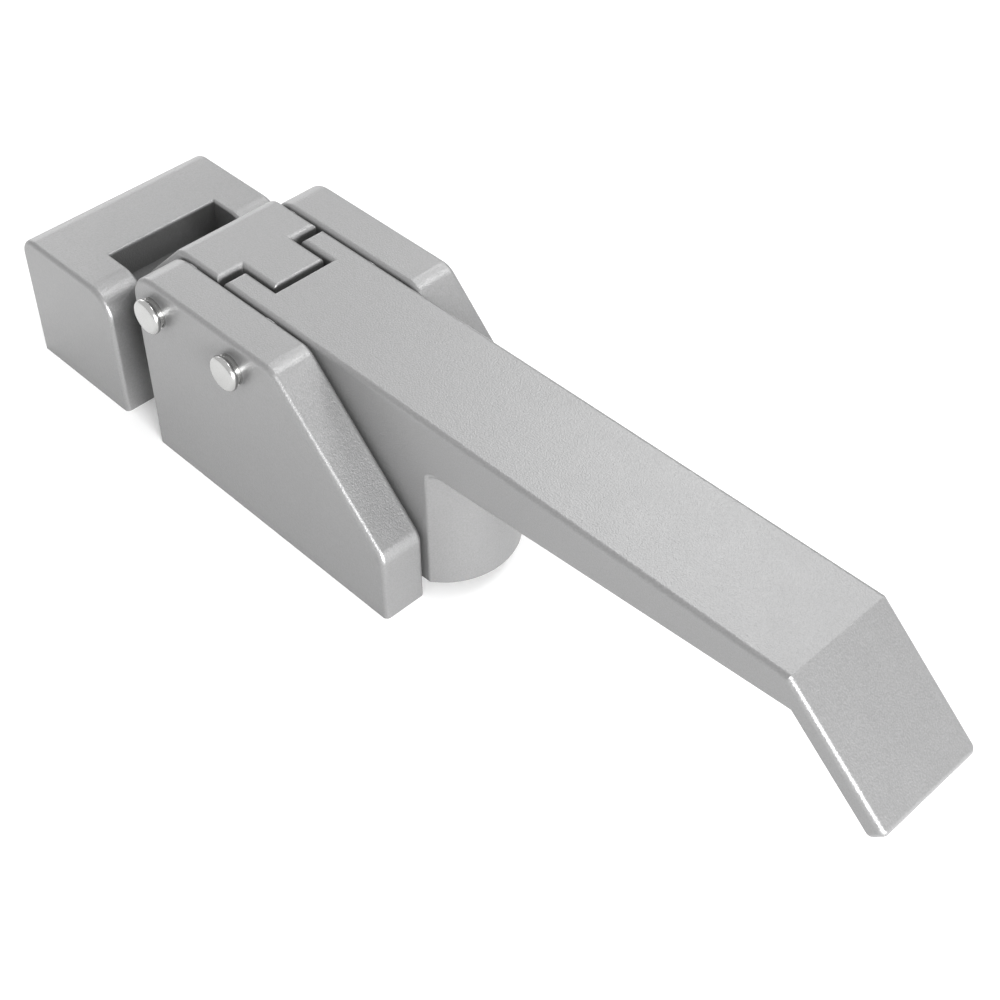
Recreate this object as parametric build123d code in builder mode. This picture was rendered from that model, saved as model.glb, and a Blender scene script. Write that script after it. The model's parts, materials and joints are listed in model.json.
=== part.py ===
"""Over-centre latch with its keeper, in millimetres.

X runs along the latch from the keeper to the lever's tip, Y across it and Z up.
The origin is the middle of the base's underside, on the surface that the latch is fixed to.
"""
from build123d import *
from math import atan2, cos, degrees, radians, sin, sqrt, tan
import os

os.makedirs("parts", exist_ok=True)

# Base: two cheeks on a floor
base_length = 49.6
base_width = 31.5
base_height = 31.2
cheek_rear_height = 11.2
cheek_slope = 45
cheek_front_radius = 4.5
edge_radius = 0.7
floor_thickness = 2.0
floor_rear = 12.0
stop_pad_height = 0.3
stop_pad_length = 7.0

# Keeper: a block with an open notch and a lip that the hook takes hold of
keeper_length = 21.6
keeper_width = 32.2
keeper_offset = 0.6
keeper_step = 10.0
keeper_gap = 8.3
keeper_notch_clearance = 0.85
keeper_notch_depth = 8.3
keeper_lip_height = 5.1
keeper_recess_depth = 8.8
keeper_front_radius = 4.5
keeper_back_radius = 3.2
notch_edge_radius = 0.5

# Pivots
hook_pivot_x = -20.0
lever_pivot_x = -3.5
pivot_depth = 4.8
rivet_radius = 2.0
rivet_head_radius = 2.6
rivet_head_height = 1.1
rivet_head_front_radius = 0.6
rivet_head_back_radius = 0.4
rivet_neck_height = 0.5
rivet_collar_radius = 2.3
rivet_collar_height = 0.3
bush_wall = 0.7
washer_radius = 4.2
washer_thickness = 0.2
washer_clearance = 0.05

# Lever
lever_width = 17.2
skirt_thickness = 2.5
lever_top_plate = 2.8
fork_front_x = -13.4
fork_notch_x = -7.1
tongue_clearance = 0.5
skirt_front_height = 4.8
skirt_front_reach = 7.5
arm_root_thickness = 9.0
arm_bend_x = 82.5
arm_bend_thickness = 4.9
arm_bend_lag = 0.8
tip_angle = 42.5
tip_length = 20.6
tip_end_thickness = 2.9
hub_clearance = 2.4
hub_centre_x = 19.5
hub_radius = 10.5
hub_wall = 3.0
hub_root_radius = 1.2
lever_edge_radius = 0.7
tip_corner_radius = 1.0
hub_edge_radius = 0.4

# Hook
hook_front_x = -23.6
hook_shoulder_x = -14.8
hook_slope = 45
hook_top_radius = 2.3
hook_boss_radius = 5.0
hook_neck_depth = 8.0
tongue_end_x = -8.1
tongue_width = 8.7
tongue_end_radius = 0.3
tongue_thickness = 3.2
tongue_relief = 1.8
claw_clearance = 0.3
claw_reach = 5.3
claw_nose = 1.0
claw_nose_drop = 1.5
claw_depth = 4.2
claw_heel_depth = 6.8
claw_heel_length = 4.9
claw_corner_radius = 0.6
lug_width = 4.8
lug_radius = 4.0

# Toggle link
crank_radius = 6.6
crank_angle = 218.0
over_centre_angle = 5.9
link_length = 15.0
link_thickness = 1.6
link_eye_radius = 3.4
link_slot_eye_radius = 4.0
link_pin_radius = 1.75
link_lost_motion = 1.2
link_slot_clearance = 0.7
link_gap = 0.3
spacer_wall = 0.9
pin_chamfer = 0.3
pin_end_inset = 0.2
clip_thickness = 0.5
clip_groove_depth = 0.4
clip_rim = 1.3
clip_mouth = 2.3

# Fits and fixings
running_clearance = 0.05
tap_radius = 1.65
tap_depth = 9.0
tap_spacing_x = 36.0
keeper_tap_spacing_x = 12.0

# Places worked out from the sizes above
pivot_z = base_height - pivot_depth
cheek_clearance = washer_thickness + 2 * washer_clearance
cheek_gap = lever_width + 2 * cheek_clearance
tap_spacing_y = (base_width + cheek_gap) / 2
base_front = -base_length / 2
base_rear = base_length / 2
keeper_height = base_height - keeper_step
keeper_notch_width = lever_width + 2 * keeper_notch_clearance
keeper_tap_spacing_y = (keeper_width + keeper_notch_width) / 2
keeper_front = base_front - keeper_gap
keeper_back = keeper_front - keeper_length
keeper_wall_x = keeper_front - keeper_notch_depth
keeper_middle = (keeper_front + keeper_back) / 2
lip_z = keeper_height - keeper_lip_height
cheek_thickness = (base_width - cheek_gap) / 2
cavity_width = lever_width - 2 * skirt_thickness
fork_notch_width = tongue_width + 2 * tongue_clearance
lug_half = lug_width / 2
link_inner = lug_half + link_gap
link_outer = link_inner + link_thickness
clip_inner = link_outer + link_gap
clip_outer = clip_inner + clip_thickness
crank_x = lever_pivot_x + crank_radius * cos(radians(crank_angle))
crank_z = pivot_z + crank_radius * sin(radians(crank_angle))
link_angle = crank_angle + over_centre_angle
link_pin_x = crank_x + link_length * cos(radians(link_angle))
link_pin_z = crank_z + link_length * sin(radians(link_angle))
hub_floor_radius = pivot_z - hub_clearance


def side_plane(y):
    """The plane across the latch at y, whose drawings are seen from the near side."""
    return Plane.XZ.offset(-y)


def upper_edges(edges):
    """The edges that are clear of the surface that the latch stands on."""
    return [edge for edge in edges if edge.center().Z > 0.05]


def is_notch_rim(edge):
    """Whether an edge of the keeper's notch is on its open top or front, and not at a corner of its walls."""
    on_top = edge.center().Z > keeper_height - keeper_front_radius / 2
    on_front = edge.center().X > keeper_front - keeper_front_radius / 2 and edge.center().Z > 0.05
    is_upright = edge.geom_type == GeomType.LINE and abs((edge % 0.5).Z) > 0.9
    is_wall_corner = is_upright and edge.center().X < keeper_front - 1
    return (on_top or on_front) and not is_wall_corner


# Base
with BuildPart() as base:
    with BuildSketch(side_plane(-cheek_gap / 2)):
        with BuildLine():
            slope_run = (base_height - cheek_rear_height) / tan(radians(cheek_slope))
            Polyline(
                (base_front, 0),
                (base_rear, 0),
                (base_rear, cheek_rear_height),
                (base_rear - slope_run, base_height),
                (base_front, base_height),
                close=True,
            )
        cheek_face = make_face()
        corners = cheek_face.vertices().group_by(Axis.Y)
        fillet(corners[-1].sort_by(Axis.X)[0], cheek_front_radius)
    extrude(amount=cheek_thickness)
    rims = base.faces().sort_by(Axis.Y)
    fillet(upper_edges(rims[0].edges()), edge_radius)
    inner_rim = base.faces().filter_by(Plane.XZ).sort_by(Axis.Y)[-1]
    fillet(upper_edges(inner_rim.edges()), edge_radius)
    mirror(about=Plane.XZ)
    with BuildSketch(Plane.XY):
        with Locations(((base_front + floor_rear) / 2 + edge_radius / 2, 0)):
            Rectangle(floor_rear - base_front - edge_radius, cheek_gap + 1)
    extrude(amount=floor_thickness)
    with BuildSketch(Plane.XY.offset(floor_thickness)):
        with Locations((0, (cavity_width + skirt_thickness) / 2), (0, -(cavity_width + skirt_thickness) / 2)):
            Rectangle(stop_pad_length, skirt_thickness, align=(Align.MIN, Align.CENTER))
    extrude(amount=stop_pad_height)
    with BuildSketch(side_plane(0)):
        with Locations((hook_pivot_x, pivot_z), (lever_pivot_x, pivot_z)):
            Circle(rivet_radius)
    extrude(amount=base_width, both=True, mode=Mode.SUBTRACT)
    with BuildSketch(Plane.XY):
        with GridLocations(tap_spacing_x, tap_spacing_y, 2, 2):
            Circle(tap_radius)
    extrude(amount=tap_depth, mode=Mode.SUBTRACT)
base.part.label = "base"
export_step(base.part, "parts/base.step")

# Keeper
with BuildPart() as keeper:
    with BuildSketch(Plane.XY):
        with Locations((keeper_middle, keeper_offset)):
            Rectangle(keeper_length, keeper_width)
    extrude(amount=keeper_height)
    long_top_edges = keeper.edges().filter_by(Axis.Y).group_by(Axis.Z)[-1].sort_by(Axis.X)
    fillet(long_top_edges[-1], keeper_front_radius)
    long_top_edges = keeper.edges().filter_by(Axis.Y).group_by(Axis.Z)[-1].sort_by(Axis.X)
    fillet(long_top_edges[0], keeper_back_radius)
    outer_sides = keeper.faces().filter_by(Plane.XZ)
    fillet(upper_edges(outer_sides.edges()), edge_radius)
    with BuildSketch(Plane.XY):
        with Locations((keeper_wall_x, keeper_offset)):
            Rectangle(keeper_notch_depth + 1, keeper_notch_width, align=(Align.MIN, Align.CENTER))
    extrude(amount=keeper_height, mode=Mode.SUBTRACT)
    notch_faces = [
        face
        for face in keeper.faces()
        if keeper_wall_x - 0.01 < face.center().X < keeper_front - 0.01
        and abs(face.center().Y - keeper_offset) < keeper_notch_width / 2 + 0.01
    ]
    notch_rims = [edge for face in notch_faces for edge in face.edges() if is_notch_rim(edge)]
    fillet(notch_rims, notch_edge_radius)
    with BuildSketch(Plane.XY):
        with Locations((keeper_wall_x + 1, keeper_offset)):
            Rectangle(keeper_recess_depth + 1, keeper_notch_width, align=(Align.MAX, Align.CENTER))
    extrude(amount=lip_z, mode=Mode.SUBTRACT)
    with BuildSketch(Plane.XY):
        with Locations((keeper_middle, keeper_offset)):
            with GridLocations(keeper_tap_spacing_x, keeper_tap_spacing_y, 2, 2):
                Circle(tap_radius)
    extrude(amount=tap_depth, mode=Mode.SUBTRACT)
keeper.part.label = "keeper"
export_step(keeper.part, "parts/keeper.step")

# Lever: arm, bent tip, fork and hollow hub in one casting
tip_top_x = arm_bend_x + tip_length * cos(radians(tip_angle))
tip_top_z = base_height - tip_length * sin(radians(tip_angle))
tip_low_x = tip_top_x - tip_end_thickness * sin(radians(tip_angle))
tip_low_z = tip_top_z - tip_end_thickness * cos(radians(tip_angle))
arm_bend_low_x = arm_bend_x + arm_bend_lag
skirt_front_low_x = lever_pivot_x - skirt_front_reach
skirt_front_low_z = pivot_z - sqrt(hub_floor_radius**2 - skirt_front_reach**2)
skirt_bend_z = pivot_z - skirt_front_height
skirt_arc_angle = degrees(atan2(skirt_front_low_z - pivot_z, skirt_front_low_x - lever_pivot_x)) % 360
arm_root_z = base_height - arm_root_thickness


def on_lever_top(edge):
    """Whether an edge bounds the arm's top face or the tip's, the crease between them apart."""
    ends = [edge @ 0, edge @ 1]
    on_arm = all(abs(end.Z - base_height) < 0.01 for end in ends)
    tip_slope = tan(radians(tip_angle))
    on_tip = all(abs(base_height - end.Z - (end.X - arm_bend_x) * tip_slope) < 0.01 for end in ends)
    is_crease = on_arm and on_tip
    return (on_arm or on_tip) and not is_crease


def on_lever_underside(edge):
    """Whether an edge bounds the underside of the arm or the tip, the bend and the hub's root apart."""
    ends = [edge @ 0, edge @ 1]
    bend_z = base_height - arm_bend_thickness
    arm_rise = (bend_z - arm_root_z) / (arm_bend_low_x - hub_centre_x)
    tip_fall = (bend_z - tip_low_z) / (tip_low_x - arm_bend_low_x)
    on_arm = all(abs(end.Z - arm_root_z - (end.X - hub_centre_x) * arm_rise) < 0.01 for end in ends)
    on_tip = all(abs(bend_z - end.Z - (end.X - arm_bend_low_x) * tip_fall) < 0.01 for end in ends)
    is_bend = on_arm and on_tip
    is_root = edge.center().X < hub_centre_x + hub_radius + 2 * hub_root_radius
    return (on_arm or on_tip) and not is_bend and not is_root


with BuildPart() as lever:
    with BuildSketch(side_plane(0)):
        with BuildLine():
            Polyline(
                (fork_front_x, skirt_bend_z),
                (fork_front_x, base_height),
                (arm_bend_x, base_height),
                (tip_top_x, tip_top_z),
                (tip_low_x, tip_low_z),
                (arm_bend_low_x, base_height - arm_bend_thickness),
                (hub_centre_x, base_height - arm_root_thickness),
                (hub_centre_x, hub_clearance),
                (lever_pivot_x, hub_clearance),
            )
            CenterArc((lever_pivot_x, pivot_z), hub_floor_radius, skirt_arc_angle, 270 - skirt_arc_angle)
            Line((skirt_front_low_x, skirt_front_low_z), (fork_front_x, skirt_bend_z))
        make_face()
    extrude(amount=lever_width / 2, both=True)
    with BuildSketch(Plane.XY.offset(hub_clearance)):
        with BuildLine():
            hub_side_x = hub_centre_x + sqrt(hub_radius**2 - (lever_width / 2) ** 2)
            Polyline(
                (hub_side_x, lever_width / 2),
                (hub_centre_x - hub_radius / 2, lever_width / 2),
                (hub_centre_x - hub_radius / 2, -lever_width / 2),
                (hub_side_x, -lever_width / 2),
            )
            RadiusArc((hub_side_x, -lever_width / 2), (hub_side_x, lever_width / 2), -hub_radius)
        make_face()
    extrude(amount=arm_root_z + arm_root_thickness / 2 - hub_clearance)
    with BuildSketch(Plane.XY):
        with BuildLine():
            inner_radius = hub_radius - hub_wall
            inner_side_x = hub_centre_x + sqrt(inner_radius**2 - (cavity_width / 2) ** 2)
            Polyline(
                (inner_side_x, cavity_width / 2),
                (fork_front_x - 1, cavity_width / 2),
                (fork_front_x - 1, -cavity_width / 2),
                (inner_side_x, -cavity_width / 2),
            )
            RadiusArc((inner_side_x, -cavity_width / 2), (inner_side_x, cavity_width / 2), -inner_radius)
        make_face()
    extrude(amount=base_height - lever_top_plate, mode=Mode.SUBTRACT)
    with BuildSketch(Plane.XY.offset(base_height)):
        with Locations((fork_notch_x, 0)):
            Rectangle(fork_notch_x - fork_front_x + 1, fork_notch_width, align=(Align.MAX, Align.CENTER))
    extrude(amount=-lever_top_plate - 1, mode=Mode.SUBTRACT)
    hub_root = [
        edge
        for edge in lever.edges().filter_by(GeomType.LINE, reverse=True)
        if edge.center().X > hub_centre_x and abs(edge.center().Z - arm_root_z) < 1.0
    ]
    fillet(hub_root, hub_root_radius)
    tip_end = lever.faces().sort_by(Axis.X)[-1]
    fillet(tip_end.edges().filter_by(Axis.Y, reverse=True), tip_corner_radius)
    fillet([edge for edge in lever.edges() if on_lever_top(edge)], lever_edge_radius)
    fillet([edge for edge in lever.edges() if on_lever_underside(edge)], lever_edge_radius)
    hub_low_edge = [
        edge
        for edge in lever.edges().filter_by(GeomType.CIRCLE)
        if abs(edge.center().Z - hub_clearance) < 0.01 and abs(edge.radius - hub_radius) < 0.01
    ]
    fillet(hub_low_edge, hub_edge_radius)
    with BuildSketch(side_plane(0)):
        with Locations((lever_pivot_x, pivot_z)):
            Circle(rivet_radius + bush_wall)
        with Locations((crank_x, crank_z)):
            Circle(link_pin_radius)
    extrude(amount=lever_width, both=True, mode=Mode.SUBTRACT)
lever.part.label = "lever"
export_step(lever.part, "parts/lever.step")

# Hook: a T-headed claw on the front rivet
hook_fall = tan(radians(hook_slope))
claw_root_x = keeper_wall_x + claw_clearance
claw_root_z = base_height - (hook_front_x - claw_root_x) * hook_fall
claw_tip_x = keeper_wall_x - claw_reach
claw_top_z = lip_z - claw_clearance
claw_top_x = claw_root_x - (claw_top_z - claw_root_z) / 2
claw_low_z = claw_top_z - claw_depth
claw_heel_z = claw_top_z - claw_heel_depth
claw_heel_x = claw_root_x + claw_heel_length
neck_low_z = pivot_z - hook_neck_depth
neck_low_x = claw_heel_x + (neck_low_z - claw_heel_z) / hook_fall
with BuildPart() as hook:
    with BuildSketch(side_plane(0)):
        with BuildLine():
            Polyline(
                (hook_shoulder_x, base_height),
                (hook_front_x, base_height),
                (claw_root_x, claw_root_z),
                (claw_top_x, claw_top_z),
                (claw_tip_x + claw_nose, claw_top_z),
                (claw_tip_x, claw_top_z - claw_nose_drop),
                (claw_tip_x + claw_nose, claw_low_z),
                (claw_root_x, (claw_low_z + claw_heel_z) / 2),
                (claw_heel_x, claw_heel_z),
                (neck_low_x, neck_low_z),
                (hook_pivot_x - hook_boss_radius * 0.7, pivot_z - hook_boss_radius * 0.8),
                (hook_pivot_x, pivot_z - hook_boss_radius),
                (hook_pivot_x + hook_boss_radius * 0.7, pivot_z - hook_boss_radius * 0.8),
                (hook_shoulder_x, pivot_z - hook_boss_radius * 0.4),
                close=True,
            )
        outline = make_face()
        claw_corners = [v for v in outline.vertices() if v.X < keeper_wall_x]
        fillet(claw_corners, claw_corner_radius)
    extrude(amount=lever_width / 2, both=True)
    with BuildSketch(Plane.XY.offset(base_height)):
        with Locations((hook_shoulder_x - 1, 0)):
            Rectangle(tongue_end_x - hook_shoulder_x + 1, tongue_width, align=(Align.MIN, Align.CENTER))
    extrude(amount=-tongue_thickness)
    tongue_low_edge = hook.edges().filter_by(Axis.Y).sort_by(Axis.X)[-2:].sort_by(Axis.Z)[0]
    chamfer(tongue_low_edge, tongue_relief)
    hook_front_edge = [
        edge
        for edge in hook.edges().filter_by(Axis.Y)
        if abs(edge.center().X - hook_front_x) < 0.01 and edge.center().Z > pivot_z
    ]
    fillet(hook_front_edge, hook_top_radius)
    top_face = hook.faces().filter_by(Axis.Z).sort_by(Axis.Z)[-1]
    top_edges = [
        edge
        for edge in top_face.edges()
        if hook_front_x + hook_top_radius / 2 < edge.center().X < tongue_end_x - 0.01
    ]
    fillet(top_edges, edge_radius)
    tongue_end = [
        edge
        for edge in hook.edges()
        if abs(edge.center().X - tongue_end_x) < 0.01 and edge.center().Z > base_height - edge_radius / 2
    ]
    fillet(tongue_end, tongue_end_radius)
    with BuildSketch(side_plane(0)):
        with BuildLine():
            Polyline(
                (hook_pivot_x - hook_boss_radius, pivot_z - rivet_radius),
                (link_pin_x - lug_radius, link_pin_z),
                (link_pin_x + lug_radius, link_pin_z),
                (hook_pivot_x + hook_boss_radius, pivot_z - rivet_radius),
                close=True,
            )
        make_face()
        with Locations((link_pin_x, link_pin_z)):
            Circle(lug_radius)
    extrude(amount=lug_half, both=True)
    with BuildSketch(side_plane(0)):
        with Locations((hook_pivot_x, pivot_z)):
            Circle(rivet_radius + bush_wall)
        with Locations((link_pin_x, link_pin_z)):
            Circle(link_pin_radius)
    extrude(amount=lever_width, both=True, mode=Mode.SUBTRACT)
hook.part.label = "hook"
export_step(hook.part, "parts/hook.step")


def rivet(x):
    """A rivet through both cheeks, with a collar, a short neck and a round-edged head on each side."""
    head_y = -base_width / 2 - rivet_collar_height - rivet_neck_height

    def is_under_head(edge):
        return abs(edge.center().Y - head_y) < 0.01 and edge.radius > rivet_collar_radius

    with BuildPart() as body:
        with BuildSketch(side_plane(0)):
            with Locations((x, pivot_z)):
                Circle(rivet_radius)
        extrude(amount=-head_y, both=True)
        with BuildSketch(side_plane(-base_width / 2)):
            with Locations((x, pivot_z)):
                Circle(rivet_collar_radius)
        extrude(amount=rivet_collar_height)
        with BuildSketch(side_plane(head_y)):
            with Locations((x, pivot_z)):
                Circle(rivet_head_radius)
        extrude(amount=rivet_head_height)
        head_edges = body.edges().filter_by(GeomType.CIRCLE).sort_by(Axis.Y)
        fillet(head_edges[0], rivet_head_front_radius)
        fillet(body.edges().filter_by(GeomType.CIRCLE).filter_by(is_under_head), rivet_head_back_radius)
        mirror(about=Plane.XZ)
    return body.part


hook_rivet = rivet(hook_pivot_x)
hook_rivet.label = "hook_rivet"
export_step(hook_rivet, "parts/hook_rivet.step")
lever_rivet = rivet(lever_pivot_x)
lever_rivet.label = "lever_rivet"
export_step(lever_rivet, "parts/lever_rivet.step")


def ring(x, z, inner, outer, y_start, y_end):
    """A plain ring about the cross axis at x and z, from y_start to y_end."""
    with BuildPart() as body:
        with BuildSketch(side_plane(y_end)):
            with Locations((x, z)):
                Circle(outer)
                Circle(inner, mode=Mode.SUBTRACT)
        extrude(amount=y_end - y_start)
    return body.part


# Bushes, washers and the spacer
bore = rivet_radius + running_clearance
bush_radius = rivet_radius + bush_wall
side = lever_width / 2
washer_near = side + washer_clearance
washer_far = washer_near + washer_thickness
spacer_bore = link_pin_radius + running_clearance
rings = {
    "hook_bush": (hook_pivot_x, pivot_z, bore, bush_radius, -side, side),
    "lever_bush_near": (lever_pivot_x, pivot_z, bore, bush_radius, -side, -cavity_width / 2),
    "lever_bush_far": (lever_pivot_x, pivot_z, bore, bush_radius, cavity_width / 2, side),
    "hook_washer_near": (hook_pivot_x, pivot_z, bore, washer_radius, -washer_far, -washer_near),
    "hook_washer_far": (hook_pivot_x, pivot_z, bore, washer_radius, washer_near, washer_far),
    "lever_washer_near": (lever_pivot_x, pivot_z, bore, washer_radius, -washer_far, -washer_near),
    "lever_washer_far": (lever_pivot_x, pivot_z, bore, washer_radius, washer_near, washer_far),
    "link_spacer": (crank_x, crank_z, spacer_bore, spacer_bore + spacer_wall, -link_inner, link_inner),
}
for name, sizes in rings.items():
    piece = ring(*sizes)
    piece.label = name
    export_step(piece, f"parts/{name}.step")

# Crank pin, pressed into both skirts of the lever
with BuildPart() as crank_pin:
    with BuildSketch(side_plane(0)):
        with Locations((crank_x, crank_z)):
            Circle(link_pin_radius)
    extrude(amount=side - pin_end_inset, both=True)
    chamfer(crank_pin.edges().filter_by(GeomType.CIRCLE), pin_chamfer)
crank_pin.part.label = "crank_pin"
export_step(crank_pin.part, "parts/crank_pin.step")

# Link pin, pressed into the hook's lug, with a groove for a clip at each end
with BuildPart() as link_pin:
    with BuildSketch(side_plane(0)):
        with Locations((link_pin_x, link_pin_z)):
            Circle(link_pin_radius)
    extrude(amount=clip_outer + clip_thickness, both=True)
    chamfer(link_pin.edges().filter_by(GeomType.CIRCLE), pin_chamfer)
    for groove_y in (clip_outer, -clip_inner):
        with BuildSketch(side_plane(groove_y)):
            with Locations((link_pin_x, link_pin_z)):
                Circle(link_pin_radius + clip_rim)
                Circle(link_pin_radius - clip_groove_depth, mode=Mode.SUBTRACT)
        extrude(amount=clip_thickness, mode=Mode.SUBTRACT)
link_pin.part.label = "link_pin"
export_step(link_pin.part, "parts/link_pin.step")

# Snap clips that hold the link on its pin
for name, y in (("clip_near", -clip_inner), ("clip_far", clip_outer)):
    with BuildPart() as clip:
        with BuildSketch(side_plane(y)):
            with Locations((link_pin_x, link_pin_z)):
                Circle(link_pin_radius + clip_rim)
                Circle(link_pin_radius - clip_groove_depth, mode=Mode.SUBTRACT)
            with Locations((link_pin_x, link_pin_z - link_pin_radius)):
                Rectangle(clip_mouth, 2 * (link_pin_radius + clip_rim) - link_pin_radius, mode=Mode.SUBTRACT)
        extrude(amount=clip_thickness)
    clip.part.label = name
    export_step(clip.part, f"parts/{name}.step")

# Link plates: a round eye on the crank pin and a lost-motion slot on the link pin
for name, y in (("link_near", -link_inner), ("link_far", link_outer)):
    with BuildPart() as link:
        with BuildSketch(side_plane(y)):
            with BuildLine():
                offset_x = link_eye_radius * sin(radians(link_angle))
                offset_z = link_eye_radius * cos(radians(link_angle))
                Polyline(
                    (crank_x - offset_x, crank_z + offset_z),
                    (link_pin_x - offset_x, link_pin_z + offset_z),
                    (link_pin_x + offset_x, link_pin_z - offset_z),
                    (crank_x + offset_x, crank_z - offset_z),
                    close=True,
                )
            make_face()
            with Locations((crank_x, crank_z), (link_pin_x, link_pin_z)):
                Circle(link_eye_radius)
            with Locations((link_pin_x, link_pin_z)):
                Circle(link_slot_eye_radius)
            with Locations((crank_x, crank_z)):
                Circle(link_pin_radius + running_clearance, mode=Mode.SUBTRACT)
            slot_middle = link_length - link_lost_motion / 2
            slot_x = crank_x + slot_middle * cos(radians(link_angle))
            slot_z = crank_z + slot_middle * sin(radians(link_angle))
            slot_width = 2 * (link_pin_radius + link_slot_clearance)
            with Locations(Location((slot_x, slot_z), link_angle)):
                SlotCenterToCenter(link_lost_motion, slot_width, mode=Mode.SUBTRACT)
        extrude(amount=link_thickness)
    link.part.label = name
    export_step(link.part, f"parts/{name}.step")
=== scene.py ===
"""The looks of an over-centre latch: satin stainless castings, polished rivets and the small toggle between them.

The file is laid out as a Blender add-on and is run as a script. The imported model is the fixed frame: the keeper,
the lever and the hook keep their solids and get a finish. The base, whose solid lacks the soft bends of its slopes,
and the turned and punched pieces are modelled here in the places of their nodes. All sizes are in metres.
"""
import json
import math

import bmesh
import bpy
from bpy.props import FloatProperty, FloatVectorProperty, IntProperty, PointerProperty
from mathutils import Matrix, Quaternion, Vector


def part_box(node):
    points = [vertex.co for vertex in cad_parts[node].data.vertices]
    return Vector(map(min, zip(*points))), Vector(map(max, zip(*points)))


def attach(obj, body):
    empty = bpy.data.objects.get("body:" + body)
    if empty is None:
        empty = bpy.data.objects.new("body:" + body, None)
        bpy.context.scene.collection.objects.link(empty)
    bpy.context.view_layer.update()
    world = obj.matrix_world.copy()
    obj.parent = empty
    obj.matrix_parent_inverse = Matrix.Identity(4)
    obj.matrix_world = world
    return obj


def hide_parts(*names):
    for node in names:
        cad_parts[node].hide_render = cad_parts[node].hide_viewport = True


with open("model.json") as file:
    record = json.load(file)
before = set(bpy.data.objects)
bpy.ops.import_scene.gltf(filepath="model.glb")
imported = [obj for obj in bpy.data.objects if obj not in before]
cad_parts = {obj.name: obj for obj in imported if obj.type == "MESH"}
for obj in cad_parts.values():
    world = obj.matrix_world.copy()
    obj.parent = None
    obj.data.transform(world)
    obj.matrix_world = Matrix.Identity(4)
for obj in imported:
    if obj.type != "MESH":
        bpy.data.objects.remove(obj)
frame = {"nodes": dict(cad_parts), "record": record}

bl_info = {
    "name": "Over-Centre Latch",
    "version": (1, 0, 0),
    "blender": (4, 5, 0),
    "location": "3D View > Sidebar > Latch",
    "description": "Dresses an over-centre latch: cast bodies, rivets, bushes, washers, toggle link and studio",
    "category": "Object",
}

MM = 0.001
NEAR = 0.001 * MM
MERGE_DISTANCE = 0.0001 * MM
SMOOTH_ANGLE = math.radians(32)
SHARP_ANGLE = math.radians(40)
FLAT_ANGLE = math.radians(0.5)
PLATE_SIDES = 72
DRILL_SIDES = 48
ROUGHNESS = {"washer": 0.30, "bush": 0.30, "spacer": 0.28, "pin": 0.22, "clip": 0.26, "link": 0.34}
CASTINGS = ("base", "keeper", "lever", "hook")
RIVETS = ("hook_rivet", "lever_rivet")
WASHERS = ("hook_washer_near", "hook_washer_far", "lever_washer_near", "lever_washer_far")
BUSHES = ("hook_bush", "lever_bush_near", "lever_bush_far")
LINKS = ("link_near", "link_far")
CLIPS = ("clip_near", "clip_far")


def body_of(node):
    """The body that a CAD node rides on."""
    return next(body for body, nodes in frame["record"]["behaviour"]["bodies"].items() if node in nodes)


def middle_of(node):
    """The middle of a CAD node's box."""
    low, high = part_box(node)
    return (low + high) / 2


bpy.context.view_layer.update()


class LatchCastingSettings(bpy.types.PropertyGroup):
    """The bead-blasted finish of the four castings."""

    colour: FloatVectorProperty(
        name="Metal colour", description="Colour of the blasted stainless steel", subtype="COLOR",
        size=3, min=0, max=1, default=(0.250, 0.250, 0.251),
    )
    roughness: FloatProperty(
        name="Roughness", description="How far the blasting spreads a reflection", min=0, max=1, default=0.40,
    )
    grain_size: FloatProperty(
        name="Grain size", description="Width of one blasted dimple", unit="LENGTH", default=0.22 * MM,
    )
    grain_depth: FloatProperty(
        name="Grain depth", description="Depth of one blasted dimple", unit="LENGTH", default=0.040 * MM,
    )
    ripple_size: FloatProperty(
        name="Casting ripple", description="Width of the slow unevenness that the mould leaves", unit="LENGTH",
        default=4.5 * MM,
    )
    ripple_depth: FloatProperty(
        name="Ripple depth", description="Depth of the slow unevenness", unit="LENGTH", default=0.015 * MM,
    )
    edge_width: FloatProperty(
        name="Dulled edge width", description="How far the blasting has dulled an edge", unit="LENGTH",
        default=0.45 * MM,
    )
    metal_share: FloatProperty(
        name="Metal share", description="How much of the light comes back as from bare metal", min=0, max=1,
        default=0.70,
    )


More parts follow.
